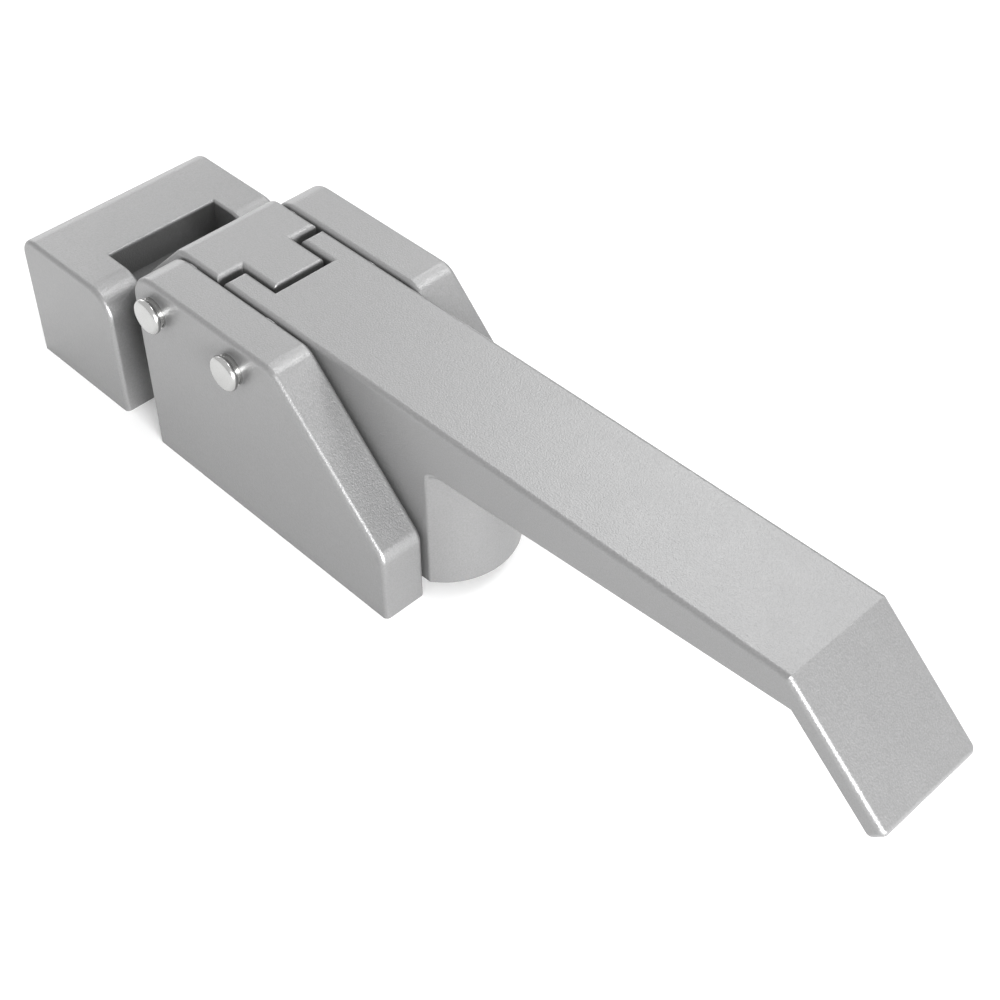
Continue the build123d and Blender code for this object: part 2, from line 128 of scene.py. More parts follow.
class LatchBaseSettings(bpy.types.PropertyGroup):
    """The base casting, whose slopes end in soft bends."""

    cheek_gap: FloatProperty(
        name="Cheek gap", description="Width between the cheeks", unit="LENGTH", default=17.8 * MM,
    )
    rear_height: FloatProperty(
        name="Rear height", description="Height of a cheek's upright rear end", unit="LENGTH", default=11.2 * MM,
    )
    slope: FloatProperty(
        name="Slope", description="Fall of a cheek's slope", subtype="ANGLE", default=math.radians(45),
    )
    front_radius: FloatProperty(
        name="Front radius", description="Rounding of a cheek's upper front corner", unit="LENGTH",
        default=4.5 * MM,
    )
    slope_radius: FloatProperty(
        name="Slope radius", description="Rounding of the bends at both ends of the slope", unit="LENGTH",
        default=3.0 * MM,
    )
    edge_radius: FloatProperty(
        name="Edge radius", description="Rounding of the cheeks' long edges", unit="LENGTH", default=0.7 * MM,
    )
    floor_thickness: FloatProperty(
        name="Floor thickness", description="Thickness of the floor between the cheeks", unit="LENGTH",
        default=2.0 * MM,
    )
    floor_rear: FloatProperty(
        name="Floor rear", description="Where the floor ends towards the lever's tip", unit="LENGTH",
        default=12.0 * MM,
    )
    pad_length: FloatProperty(
        name="Pad length", description="Length of the pads that the lever rests on", unit="LENGTH",
        default=7.0 * MM,
    )
    pad_width: FloatProperty(
        name="Pad width", description="Width of a pad, as the lever's skirt", unit="LENGTH", default=2.5 * MM,
    )
    pad_height: FloatProperty(
        name="Pad height", description="Height of a pad over the floor", unit="LENGTH", default=0.3 * MM,
    )
    pad_place: FloatProperty(
        name="Pad place", description="From the middle to the middle of a pad", unit="LENGTH",
        default=7.35 * MM,
    )
    tap_radius: FloatProperty(
        name="Tap radius", description="Radius of the tapped holes in the underside", unit="LENGTH",
        default=1.65 * MM,
    )
    tap_depth: FloatProperty(
        name="Tap depth", description="Depth of the tapped holes", unit="LENGTH", default=9.0 * MM,
    )
    tap_reach: FloatProperty(
        name="Tap reach", description="From the middle to the tapped holes, along the latch", unit="LENGTH",
        default=18.0 * MM,
    )


class LatchRivetSettings(bpy.types.PropertyGroup):
    """The two polished rivets."""

    colour: FloatVectorProperty(
        name="Rivet colour", description="Colour of the polished stainless steel", subtype="COLOR",
        size=3, min=0, max=1, default=(0.44, 0.44, 0.435),
    )
    roughness: FloatProperty(
        name="Roughness", description="How far the polish spreads a reflection", min=0, max=1, default=0.22,
    )
    shank_radius: FloatProperty(
        name="Shank radius", description="Radius of the rivet in the cheeks", unit="LENGTH", default=2.0 * MM,
    )
    collar_radius: FloatProperty(
        name="Collar radius", description="Radius of the collar on the cheek", unit="LENGTH", default=2.3 * MM,
    )
    collar_height: FloatProperty(
        name="Collar height", description="Height of the collar on the cheek", unit="LENGTH", default=0.3 * MM,
    )
    neck_height: FloatProperty(
        name="Neck height", description="Height of the neck between collar and head", unit="LENGTH",
        default=0.5 * MM,
    )
    head_height: FloatProperty(
        name="Head height", description="Height of the head above its neck", unit="LENGTH", default=1.1 * MM,
    )
    front_radius: FloatProperty(
        name="Head edge radius", description="Rounding of the head's outer edge", unit="LENGTH", default=0.6 * MM,
    )
    back_radius: FloatProperty(
        name="Head back radius", description="Rounding of the head's edge towards the cheek", unit="LENGTH",
        default=0.4 * MM,
    )
    crown: FloatProperty(
        name="Crown", description="Height of the head's middle over its rim", unit="LENGTH", default=0.06 * MM,
    )
    sides: IntProperty(name="Sides", description="Facets round a rivet", min=24, max=192, default=96)


class LatchToggleSettings(bpy.types.PropertyGroup):
    """The washers, bushes, pins, clips and link plates."""

    steel_colour: FloatVectorProperty(
        name="Steel colour", description="Colour of the washers, clips, pins and link plates", subtype="COLOR",
        size=3, min=0, max=1, default=(0.52, 0.52, 0.53),
    )
    bronze_colour: FloatVectorProperty(
        name="Bronze colour", description="Colour of the bushes", subtype="COLOR",
        size=3, min=0, max=1, default=(0.52, 0.33, 0.15),
    )
    bore: FloatProperty(
        name="Bush bore", description="Radius of the holes that turn on the rivets", unit="LENGTH",
        default=2.05 * MM,
    )
    pin_radius: FloatProperty(
        name="Pin radius", description="Radius of the crank pin and the link pin", unit="LENGTH", default=1.75 * MM,
    )
    pin_clearance: FloatProperty(
        name="Pin clearance", description="Play of a link's round eye on the crank pin", unit="LENGTH",
        default=0.05 * MM,
    )
    slot_clearance: FloatProperty(
        name="Slot clearance", description="Play across the slot on the link pin", unit="LENGTH", default=0.7 * MM,
    )
    lost_motion: FloatProperty(
        name="Lost motion", description="Length that the link pin may slide in its slot", unit="LENGTH",
        default=1.2 * MM,
    )
    eye_radius: FloatProperty(
        name="Round eye radius", description="Outer radius of the link at the crank pin", unit="LENGTH",
        default=3.4 * MM,
    )
    slot_eye_radius: FloatProperty(
        name="Slot eye radius", description="Outer radius of the link at the link pin", unit="LENGTH",
        default=4.0 * MM,
    )
    groove_depth: FloatProperty(
        name="Groove depth", description="Depth of the clip grooves in the link pin", unit="LENGTH",
        default=0.4 * MM,
    )
    edge_break: FloatProperty(
        name="Broken edge", description="Chamfer on the edges of the small turned pieces", unit="LENGTH",
        default=0.12 * MM,
    )
    sides: IntProperty(name="Sides", description="Facets round a turned piece", min=24, max=192, default=72)


class LatchStageSettings(bpy.types.PropertyGroup):
    """The pale studio and the camera."""

    floor_size: FloatProperty(
        name="Floor size", description="Side of the floor", unit="LENGTH", default=4.0,
    )
    ambient: FloatProperty(
        name="Room light", description="Strength of the even light of the room", min=0, max=2, default=0.85,
    )
    camera_place: FloatVectorProperty(
        name="Camera place", description="Where the photograph was taken from", subtype="TRANSLATION",
        size=3, default=(0.1492, -0.1157, 0.17789),
    )
    camera_aim: FloatVectorProperty(
        name="Camera aim", description="Direction in which the camera looks", subtype="DIRECTION",
        size=3, default=(-0.51207, 0.49777, -0.70000),
    )
    camera_roll: FloatProperty(
        name="Camera roll", description="Turn of the camera about its line of sight", subtype="ANGLE",
        default=math.radians(-0.359),
    )
    lens: FloatProperty(
        name="Lens", description="Focal length on a 36 mm wide frame, in millimetres", default=64.84,
    )


class Field:
    """A value on a surface: an output socket, whose Python operators add Math nodes."""

    def __init__(self, finish, socket):
        self.finish = finish
        self.socket = socket

    def _math(self, operation, first, second=0.0):
        return self.finish.node("ShaderNodeMath", {"operation": operation}, {0: first, 1: second})

    def __add__(self, other):
        return self._math("ADD", self, other)

    def __sub__(self, other):
        return self._math("SUBTRACT", self, other)

    def __rsub__(self, other):
        return self._math("SUBTRACT", other, self)

    def __mul__(self, other):
        return self._math("MULTIPLY", self, other)

    __radd__ = __add__
    __rmul__ = __mul__

    def swing(self, width):
        """How far the value is from a half, made wider or narrower."""
        return (self - 0.5) * width

    def clipped(self):
        """The same value, kept between 0 and 1."""
        return self.finish.node("ShaderNodeClamp", None, {"Value": self})

    def sine(self):
        """The sine of the value, taken as radians."""
        return self._math("SINE", self)


class Finish:
    """A node tree that is built up as Python expressions."""

    def __init__(self, owner):
        owner.use_nodes = True
        self.owner = owner
        self.tree = owner.node_tree
        self.tree.nodes.clear()

    def node(self, kind, settings=None, sockets=None, output=0):
        """Adds a node, sets its settings and then its sockets, by value or link, and gives one of its outputs."""
        made = self.tree.nodes.new(kind)
        for key, value in (settings or {}).items():
            if key == "stops":
                ramp = made.color_ramp
                while len(ramp.elements) < len(value):
                    ramp.elements.new(1.0)
                for element, (place, shade) in zip(ramp.elements, value):
                    element.position = place
                    element.color = (shade, shade, shade, 1)
            else:
                setattr(made, key, value)
        for key, value in (sockets or {}).items():
            if isinstance(value, Field):
                self.tree.links.new(value.socket, made.inputs[key])
            else:
                made.inputs[key].default_value = value
        return Field(self, made.outputs[output]) if made.outputs else None

    def place(self):
        """The place on the piece, in metres."""
        return self.node("ShaderNodeTexCoord", output="Object")

    def stretched(self, scale, turn=(0, 0, 0)):
        """The place on the piece with each direction scaled."""
        return self.node("ShaderNodeMapping", None, {"Vector": self.place(), "Rotation": turn, "Scale": scale})

    def noise(self, size, detail=2.0, where=None):
        """Soft random patches of about the given size, from 0 to 1."""
        sockets = {"Vector": where or self.place(), "Scale": 1 / size, "Detail": detail}
        return self.node("ShaderNodeTexNoise", None, sockets)

    def ramp(self, value, *stops):
        """The value sent through a ramp of (place, shade) stops."""
        return self.node("ShaderNodeValToRGB", {"stops": stops}, {"Fac": value})

    def tint(self, share, low, high):
        """A colour between low and high."""
        sockets = {0: share, 6: (*low, 1), 7: (*high, 1)}
        return self.node("ShaderNodeMix", {"data_type": "RGBA"}, sockets, output=2)

    def edges(self, width):
        """How near a point is to an outer edge, from 0 to 1."""
        softened = self.node("ShaderNodeBevel", {"samples": 6}, {"Radius": width})
        normal = self.node("ShaderNodeNewGeometry", output="Normal")
        agree = self.node(
            "ShaderNodeVectorMath", {"operation": "DOT_PRODUCT"}, {0: softened, 1: normal}, output="Value"
        )
        return ((1 - agree) * 4).clipped()

    def crevices(self, reach):
        """How closed in a point is, from 0 in the open to 1 in a corner."""
        open_sky = self.node("ShaderNodeAmbientOcclusion", {"samples": 8}, {"Distance": reach}, output="AO")
        return (1 - open_sky).clipped()

    def relief(self, height, depth, under=None):
        """A bumped normal, laid over another one."""
        sockets = {"Height": height, "Distance": depth, "Strength": 1.0}
        if under is not None:
            sockets["Normal"] = under
        return self.node("ShaderNodeBump", None, sockets)

    def radius_about(self, middle):
        """The distance from the cross axis through a point."""
        here = self.node("ShaderNodeVectorMath", {"operation": "SUBTRACT"}, {0: self.place(), 1: middle})
        across = self.node("ShaderNodeVectorMath", {"operation": "MULTIPLY"}, {0: here, 1: (1, 0, 1)})
        return self.node("ShaderNodeVectorMath", {"operation": "LENGTH"}, {0: across}, output="Value")

    def metal(self, colour, roughness, normal, metallic=1.0):
        """Ends the tree in a metal surface."""
        sockets = {"Base Color": colour, "Metallic": metallic, "Roughness": roughness, "Normal": normal}
        surface = self.node("ShaderNodeBsdfPrincipled", None, sockets)
        self.node("ShaderNodeOutputMaterial", None, {"Surface": surface})
        return self.owner


def shaded(colour, factor):
    """The colour made lighter or darker."""
    return tuple(min(1.0, part * factor) for part in colour)


def casting_finish(settings):
    """Blasted stainless: fine dimples, slow ripple, edges that the blasting has dulled, and painted shade that darkens
    the corners, which are also made rougher.
    """
    finish = Finish(bpy.data.materials.new("satin_casting_blasted"))
    grain = finish.noise(settings.grain_size, detail=2.5)
    patches = finish.noise(settings.ripple_size, detail=3.0)
    edge_wear_and_highlight = finish.edges(settings.edge_width) * finish.ramp(patches, (0.3, 0.35), (0.7, 1.0))
    corner_reach, painted_corner_shade, darkest, lightest = 2.5 * MM, 0.1, 0.80, 1.20
    # Painted shade: an occlusion mask darkens the colour in corners and crevices; the same mask also raises the
    # roughness there.
    corner_shade_mask = finish.crevices(corner_reach)
    shade = (0.5 + grain.swing(0.95) + patches.swing(0.08) - corner_shade_mask * painted_corner_shade).clipped()
    colour = finish.tint(shade, shaded(settings.colour, darkest), shaded(settings.colour, lightest))
    dulling = 0.12
    roughness = settings.roughness + grain.swing(0.16) + patches.swing(0.05) + edge_wear_and_highlight * dulling + corner_shade_mask * dulling
    slow = finish.relief(patches, settings.ripple_depth)
    dimples = finish.relief(grain, settings.grain_depth, slow)
    return finish.metal(colour, roughness.clipped(), dimples, settings.metal_share)


def turned_finish(name, colour, roughness, middle, pitch=0.09 * MM):
    """Turned metal: faint rings about the piece's own axis, a few smears, painted highlights that brighten the edges
    and painted shade that darkens the corners.
    """
    finish = Finish(bpy.data.materials.new(name))
    smear_size, fine_size, wobble, ring_depth = 1.4 * MM, 0.16 * MM, 2.0, 0.0012 * MM
    smear = finish.noise(smear_size, detail=3.0)
    fine = finish.noise(fine_size, detail=2.0)
    rings = (finish.radius_about(middle) * (math.tau / pitch) + smear * wobble).sine() * 0.5 + 0.5
    # Painted highlight: the edge mask brightens the colour. Painted shade: the occlusion mask darkens the colour in
    # corners.
    edge_width, painted_edge_highlight, corner_reach, painted_corner_shade = 0.25 * MM, 0.15, 1.5 * MM, 0.5
    edge_wear_and_highlight = finish.edges(edge_width)
    corner_shade_mask = finish.crevices(corner_reach)
    shade = (0.45 + smear.swing(0.5) + rings.swing(0.12) + edge_wear_and_highlight * painted_edge_highlight - corner_shade_mask * painted_corner_shade).clipped()
    spread = (roughness + smear.swing(0.10) + fine.swing(0.06)).clipped()
    darkest, lightest, ring_share = 0.86, 1.12, 0.6
    tone = finish.tint(shade, shaded(colour, darkest), shaded(colour, lightest))
    return finish.metal(tone, spread, finish.relief(rings * ring_share + fine * (1 - ring_share), ring_depth))


def punched_finish(name, colour, roughness, run_angle):
    """Punched strip: long fine lines along the rolled direction, a few smears and painted highlights that brighten the
    edges.
    """
    finish = Finish(bpy.data.materials.new(name))
    line_width, line_stretch, line_depth = 0.12 * MM, 0.06, 0.004 * MM
    along = finish.stretched((line_stretch, 1.0, 1.0), (0, run_angle, 0))
    lines = finish.noise(line_width, detail=2.0, where=along)
    smear_size, edge_width, painted_edge_highlight = 1.8 * MM, 0.2 * MM, 0.4
    smear = finish.noise(smear_size, detail=3.0)
    edge_wear_and_highlight = finish.edges(edge_width)
    # Painted highlight: the edge mask brightens the colour along the edges.
    shade = (0.45 + lines.swing(0.6) + smear.swing(0.4) + edge_wear_and_highlight * painted_edge_highlight).clipped()
    spread = (roughness + lines.swing(0.12) + smear.swing(0.10)).clipped()
    darkest, lightest = 0.80, 1.15
    tone = finish.tint(shade, shaded(colour, darkest), shaded(colour, lightest))
    return finish.metal(tone, spread, finish.relief(lines, line_depth))


def deselect_all():
    """Leaves nothing selected and no object active."""
    bpy.ops.object.select_all(action="DESELECT")
    bpy.context.view_layer.objects.active = None


def start_circle(name, middle, y, radius, sides, fill="NGON"):
    """A circle about the cross axis through a point, as the active object in edit mode, all selected."""
    deselect_all()
    bpy.ops.mesh.primitive_circle_add(
        vertices=sides, radius=radius, fill_type=fill,
        location=(middle.x, y, middle.z), rotation=(math.pi / 2, 0, 0),
    )
    piece = bpy.context.object
    piece.name = name
    piece.data.name = name
    bpy.ops.object.transform_apply(location=True, rotation=True, scale=True)
    bpy.ops.object.mode_set(mode="EDIT")
    bpy.ops.mesh.select_all(action="SELECT")
    return piece


def push_out(y_step):
    """Extrudes the selected faces along Y."""
    bpy.ops.mesh.extrude_region_move(TRANSFORM_OT_translate={"value": (0, y_step, 0)})


def scale_about(ratio, middle, y):
    """Scales what is selected about the cross axis through a point."""
    bpy.ops.transform.resize(value=(ratio, 1, ratio), center_override=(middle.x, y, middle.z))


def start_flat_ring(name, middle, y, outer, inner, sides):
    """A flat ring about the cross axis through a point, as the active object in edit mode."""
    piece = start_circle(name, middle, y, outer, sides, fill="NOTHING")
    bpy.ops.mesh.extrude_edges_move()
    scale_about(inner / outer, middle, y)
    return piece


def face_outwards():
    """Turns every face of the mesh in edit mode outwards and leaves edit mode."""
    bpy.ops.mesh.select_all(action="SELECT")
    bpy.ops.mesh.remove_doubles(threshold=MERGE_DISTANCE)
    bpy.ops.mesh.normals_make_consistent(inside=False)
    bpy.ops.object.mode_set(mode="OBJECT")


def turned(name, middle, profile, sides):
    """A solid turned piece: a disc pushed out from one (y, radius) of its profile to the next."""
    (y, radius), *steps = profile
    piece = start_circle(name, middle, y, radius, sides)
    for next_y, next_radius in steps:
        push_out(next_y - y)
        scale_about(next_radius / radius, middle, next_y)
        y, radius = next_y, next_radius
    face_outwards()
    bpy.ops.object.shade_smooth_by_angle(angle=SMOOTH_ANGLE)
    return piece


def bevel_edges(piece, width):
    """Breaks the sharp edges of a piece."""
    breaking = piece.modifiers.new("broken_edges", "BEVEL")
    breaking.width = width
    breaking.segments = 2
    breaking.limit_method = "ANGLE"
    breaking.angle_limit = SHARP_ANGLE
    bpy.ops.object.modifier_apply(modifier=breaking.name)
    bpy.ops.object.shade_smooth_by_angle(angle=SMOOTH_ANGLE)


def ring(name, node, bore, edge, sides):
    """A ring of a CAD node's outer size, with the given bore and broken edges."""
    low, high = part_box(node)
    piece = start_flat_ring(name, middle_of(node), low.y, (high.x - low.x) / 2, bore, sides)
    bpy.ops.mesh.select_all(action="SELECT")
    push_out(high.y - low.y)
    face_outwards()
    bevel_edges(piece, edge)
    return piece


def stand_for(piece, node, finish):
    """Puts a finished piece in a CAD node's place, on its body and finish."""
    piece.data.materials.clear()
    piece.data.materials.append(finish)
    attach(piece, body_of(node))
    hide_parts(node)


def block(name, low, high):
    """A block between two corners, as the active object."""
    deselect_all()
    bpy.ops.mesh.primitive_cube_add(size=1, location=(low + high) / 2, scale=high - low)
    piece = bpy.context.object
    piece.name = name
    piece.data.name = name
    bpy.ops.object.transform_apply(location=True, rotation=True, scale=True)
    return piece


def drill(middle, radius, length, across):
    """A round bar, across the latch or upright, to cut a hole with."""
    deselect_all()
    turn = (math.pi / 2, 0, 0) if across else (0, 0, 0)
    bpy.ops.mesh.primitive_cylinder_add(
        vertices=DRILL_SIDES, radius=radius, depth=length, location=middle, rotation=turn,
    )
    bpy.ops.object.transform_apply(location=True, rotation=True, scale=True)
    return bpy.context.object


def join(piece, others, operation):
    """Adds other solids to a piece or cuts them out of it, and takes them away."""
    deselect_all()
    piece.select_set(True)
    bpy.context.view_layer.objects.active = piece
    for other in others:
        change = piece.modifiers.new(operation.lower(), "BOOLEAN")
        change.operation = operation
        change.object = other
        bpy.ops.object.modifier_apply(modifier=change.name)
        bpy.data.objects.remove(other)


def at_corner(x, z):
    """A test for the edge that runs across the latch through a corner, by the edge's two ends."""
    return lambda ends: all(abs(end.x - x) < NEAR and abs(end.z - z) < NEAR for end in ends)


def on_rim(y):
    """A test for the edges round a side face, apart from those on the ground, by an edge's two ends."""
    return lambda ends: all(abs(end.y - y) < NEAR for end in ends) and sum(end.z for end in ends) > NEAR


def arc(centre_y, centre_radius, radius, start, end):
    """Points (y, radius) along a rounding, from one angle to another, in degrees."""
    steps = 8
    points = []
    for index in range(steps + 1):
        angle = math.radians(start + (end - start) * index / steps)
        points.append((centre_y + radius * math.cos(angle), centre_radius + radius * math.sin(angle)))
    return points


class LATCH_OT_castings(bpy.types.Operator):
    """Give the base, keeper, lever and hook their blasted finish"""

    bl_idname = "latch.castings"
    bl_label = "Finish Castings"
    bl_options = {"REGISTER", "UNDO"}

    def execute(self, context):
        finish = casting_finish(context.scene.latch_casting)
        for node in CASTINGS:
            for slot in frame["nodes"][node].material_slots:
                slot.material = finish
        return {"FINISHED"}


class LATCH_OT_base(bpy.types.Operator):
    """Cast the base with soft bends at both ends of its slopes"""

    bl_idname = "latch.base"
    bl_label = "Cast Base"
    bl_options = {"REGISTER", "UNDO"}

    OVERLAP = 0.5 * MM

    def round_edges(self, piece, chosen, reach, segments):
        """Rounds the edges that the test picks by their two ends, in edit mode."""
        bpy.ops.mesh.select_mode(type="EDGE")
        bpy.ops.mesh.select_all(action="DESELECT")
        mesh = bmesh.from_edit_mesh(piece.data)
        for edge in mesh.edges:
            if chosen([vertex.co for vertex in edge.verts]):
                edge.select_set(True)
        bmesh.update_edit_mesh(piece.data)
        bpy.ops.mesh.bevel(offset_type="OFFSET", offset=reach, segments=segments, profile=0.5, affect="EDGES")

    def cheek(self, settings, low, high):
        """The near cheek: a block cut along the slope, with its bends and then its long edges rounded."""
        front_segments, bend_segments, rim_segments = 12, 8, 5
        inner = -settings.cheek_gap / 2
        piece = block("base_cast", low, Vector((high.x, inner, high.z)))
        bpy.ops.object.mode_set(mode="EDIT")
        bpy.ops.mesh.select_all(action="SELECT")
        fall = Vector((math.sin(settings.slope), 0, math.cos(settings.slope)))
        bpy.ops.mesh.bisect(
            plane_co=(high.x, low.y, settings.rear_height), plane_no=fall, use_fill=True, clear_outer=True,
        )
        slope_top = high.x - (high.z - settings.rear_height) / math.tan(settings.slope)
        bend_reach = settings.slope_radius * math.tan(settings.slope / 2)
        corners = (
            (low.x, high.z, settings.front_radius, front_segments),
            (slope_top, high.z, bend_reach, bend_segments),
            (high.x, settings.rear_height, bend_reach, bend_segments),
        )
        for x, z, reach, segments in corners:
            self.round_edges(piece, at_corner(x, z), reach, segments)
        for y in (low.y, inner):
            self.round_edges(piece, on_rim(y), settings.edge_radius, rim_segments)
        face_outwards()
        return piece

    def floor_and_pads(self, settings, front):
        """The floor between the cheeks and the pads on it, each a little way into what it joins."""
        floor_half = settings.cheek_gap / 2 + self.OVERLAP
        floor_top = settings.floor_thickness
        added = [block("floor", Vector((front, -floor_half, 0)), Vector((settings.floor_rear, floor_half, floor_top)))]
        for side in (-1, 1):
            middle, half = side * settings.pad_place, settings.pad_width / 2
            pad_low = Vector((0, middle - half, floor_top - self.OVERLAP))
            pad_high = Vector((settings.pad_length, middle + half, floor_top + settings.pad_height))
            added.append(block("pad", pad_low, pad_high))
        return added

    def holes(self, settings, shank_radius, half_width):
        """Bars to cut the rivets' bores and the tapped holes with, each a little longer than its hole."""
        drills = []
        for node in RIVETS:
            hole = middle_of(node)
            drills.append(drill((hole.x, 0, hole.z), shank_radius, 2 * half_width + MM, True))
        tap_y = (half_width + settings.cheek_gap / 2) / 2
        tap_middle = (settings.tap_depth - self.OVERLAP) / 2
        for x in (-settings.tap_reach, settings.tap_reach):
            for y in (-tap_y, tap_y):
                place = (x, y, tap_middle)
                drills.append(drill(place, settings.tap_radius, settings.tap_depth + self.OVERLAP, False))
        return drills

    def execute(self, context):
        settings = context.scene.latch_base
        low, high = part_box("base")
        piece = self.cheek(settings, low, high)
        other = piece.modifiers.new("far_cheek", "MIRROR")
        other.use_axis = (False, True, False)
        bpy.ops.object.modifier_apply(modifier=other.name)
        join(piece, self.floor_and_pads(settings, low.x + settings.edge_radius), "UNION")
        join(piece, self.holes(settings, context.scene.latch_rivet.shank_radius, high.y), "DIFFERENCE")
        bpy.ops.object.shade_smooth_by_angle(angle=SMOOTH_ANGLE)
        flats = piece.modifiers.new("flat_faces_stay_flat", "WEIGHTED_NORMAL")
        flats.keep_sharp = True
        bpy.ops.object.modifier_apply(modifier=flats.name)
        stand_for(piece, "base", frame["nodes"]["base"].material_slots[0].material)
        return {"FINISHED"}


class LATCH_OT_rivets(bpy.types.Operator):
    """Turn the two polished rivets with crowned heads"""

    bl_idname = "latch.rivets"
    bl_label = "Turn Rivets"
    bl_options = {"REGISTER", "UNDO"}

    def execute(self, context):
        settings = context.scene.latch_rivet
        crown_steps = 4
        for node in RIVETS:
            low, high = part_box(node)
            middle = middle_of(node)
            reach, head = high.y, (high.x - low.x) / 2
            back = reach - settings.head_height
            collar = back - settings.neck_height
            cheek = collar - settings.collar_height
            rim = reach - settings.crown
            flat = head - settings.front_radius
            crown = [
                (rim + settings.crown * (1 - (step / crown_steps) ** 2), flat * step / crown_steps)
                for step in range(1, crown_steps)
            ]
            rounding = arc(rim - settings.front_radius, flat, settings.front_radius, 90, 0)
            heel = arc(back + settings.back_radius, head - settings.back_radius, settings.back_radius, 90, 180)
            half = crown + rounding[::-1] + heel
            half += [(back, settings.shank_radius), (collar, settings.shank_radius)]
            half += [(collar, settings.collar_radius), (cheek, settings.collar_radius)]
            half += [(cheek, settings.shank_radius)]
            profile = [(-y, radius) for y, radius in half] + half[::-1]
            piece = turned(f"{node}_turned", middle, profile, settings.sides)
            finish = turned_finish(f"{node}_polish", settings.colour, settings.roughness, middle)
            stand_for(piece, node, finish)
        return {"FINISHED"}


class LATCH_OT_washers(bpy.types.Operator):
    """Punch the four thin washers beside the hook and the lever"""

    bl_idname = "latch.washers"
    bl_label = "Punch Washers"
    bl_options = {"REGISTER", "UNDO"}

    def execute(self, context):
        settings = context.scene.latch_toggle
        for node in WASHERS:
            piece = ring(f"{node}_punched", node, settings.bore, settings.edge_break / 3, settings.sides)
            finish = turned_finish(
                f"{node}_steel", settings.steel_colour, ROUGHNESS["washer"], middle_of(node), pitch=0.05 * MM,
            )
            stand_for(piece, node, finish)
        return {"FINISHED"}


class LATCH_OT_bushes(bpy.types.Operator):
    """Turn the bronze bushes and the steel spacer"""

    bl_idname = "latch.bushes"
    bl_label = "Turn Bushes"
    bl_options = {"REGISTER", "UNDO"}

    def execute(self, context):
        settings = context.scene.latch_toggle
        for node in BUSHES:
            piece = ring(f"{node}_turned", node, settings.bore, settings.edge_break, settings.sides)
            finish = turned_finish(f"{node}_bronze", settings.bronze_colour, ROUGHNESS["bush"], middle_of(node))
            stand_for(piece, node, finish)
        node = "link_spacer"
        spacer_bore = settings.pin_radius + settings.pin_clearance
        piece = ring(f"{node}_turned", node, spacer_bore, settings.edge_break, settings.sides)
        finish = turned_finish(f"{node}_steel", settings.steel_colour, ROUGHNESS["spacer"], middle_of(node))
        stand_for(piece, node, finish)
        return {"FINISHED"}


class LATCH_OT_pins(bpy.types.Operator):
    """Turn the crank pin and the grooved link pin"""

    bl_idname = "latch.pins"
    bl_label = "Turn Pins"
    bl_options = {"REGISTER", "UNDO"}

    def execute(self, context):
        settings = context.scene.latch_toggle
        chamfer = 0.3 * MM
        for node in ("crank_pin", "link_pin"):
            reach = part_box(node)[1].y
            radius = settings.pin_radius
            half = [(reach, radius - chamfer), (reach - chamfer, radius)]
            if node == "link_pin":
                inner, outer = (corner.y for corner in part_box("clip_far"))
                floor_radius = radius - settings.groove_depth
                half += [(outer, radius), (outer, floor_radius), (inner, floor_radius), (inner, radius)]
            profile = [(-y, size) for y, size in half] + half[::-1]
            piece = turned(f"{node}_turned", middle_of(node), profile, settings.sides)
            finish = turned_finish(f"{node}_ground", settings.steel_colour, ROUGHNESS["pin"], middle_of(node))
            stand_for(piece, node, finish)
        return {"FINISHED"}


class LATCH_OT_clips(bpy.types.Operator):
    """Punch the two snap clips, each with three inner lugs and an open mouth"""

    bl_idname = "latch.clips"
    bl_label = "Punch Clips"
    bl_options = {"REGISTER", "UNDO"}

    # Angles from the middle of the mouth, in degrees
    MOUTH_END = 30
    SIDE_LUG_END = 52
    BACK_LUG_START = 169

    def angle_from_mouth(self, offset):
        """How far round the pin a place is from the middle of the mouth, in degrees."""
        return abs(math.degrees(math.atan2(offset.x, -offset.z)))

    def open_mouth(self, piece, pin):
        """Deletes the part of the flat ring that lies in the mouth."""
        mesh = bmesh.from_edit_mesh(piece.data)
        for face in mesh.faces:
            face.select_set(self.angle_from_mouth(face.calc_center_median() - pin) < self.MOUTH_END)
        bmesh.update_edit_mesh(piece.data)
        bpy.ops.mesh.delete(type="FACE")

    def select_lug_roots(self, piece, pin, waist):
        """Selects the inner edges that the three lugs grow from."""
        mesh = bmesh.from_edit_mesh(piece.data)
        for edge in mesh.edges:
            angle = self.angle_from_mouth((edge.verts[0].co + edge.verts[1].co) / 2 - pin)
            at_waist = all(abs((vertex.co - pin).xz.length - waist) < NEAR for vertex in edge.verts)
            at_lug = self.MOUTH_END <= angle < self.SIDE_LUG_END or angle > self.BACK_LUG_START
            edge.select_set(at_waist and at_lug)
        bmesh.update_edit_mesh(piece.data)

    def execute(self, context):
        settings = context.scene.latch_toggle
        waist_clearance, edge_break = 0.45 * MM, 0.06 * MM
        grip = settings.pin_radius - settings.groove_depth
        waist = settings.pin_radius + waist_clearance
        pin = middle_of("link_pin")
        for node in CLIPS:
            low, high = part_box(node)
            outer = (high.x - low.x) / 2
            piece = start_flat_ring(f"{node}_punched", pin, low.y, outer, waist, PLATE_SIDES)
            self.open_mouth(piece, pin)
            self.select_lug_roots(piece, pin, waist)
            bpy.ops.mesh.extrude_edges_move()
            scale_about(grip / waist, pin, low.y)
            bpy.ops.mesh.select_all(action="SELECT")
            push_out(high.y - low.y)
            face_outwards()
            bevel_edges(piece, edge_break)
            finish = punched_finish(f"{node}_spring_steel", settings.steel_colour, ROUGHNESS["clip"], 0.0)
            stand_for(piece, node, finish)
        return {"FINISHED"}


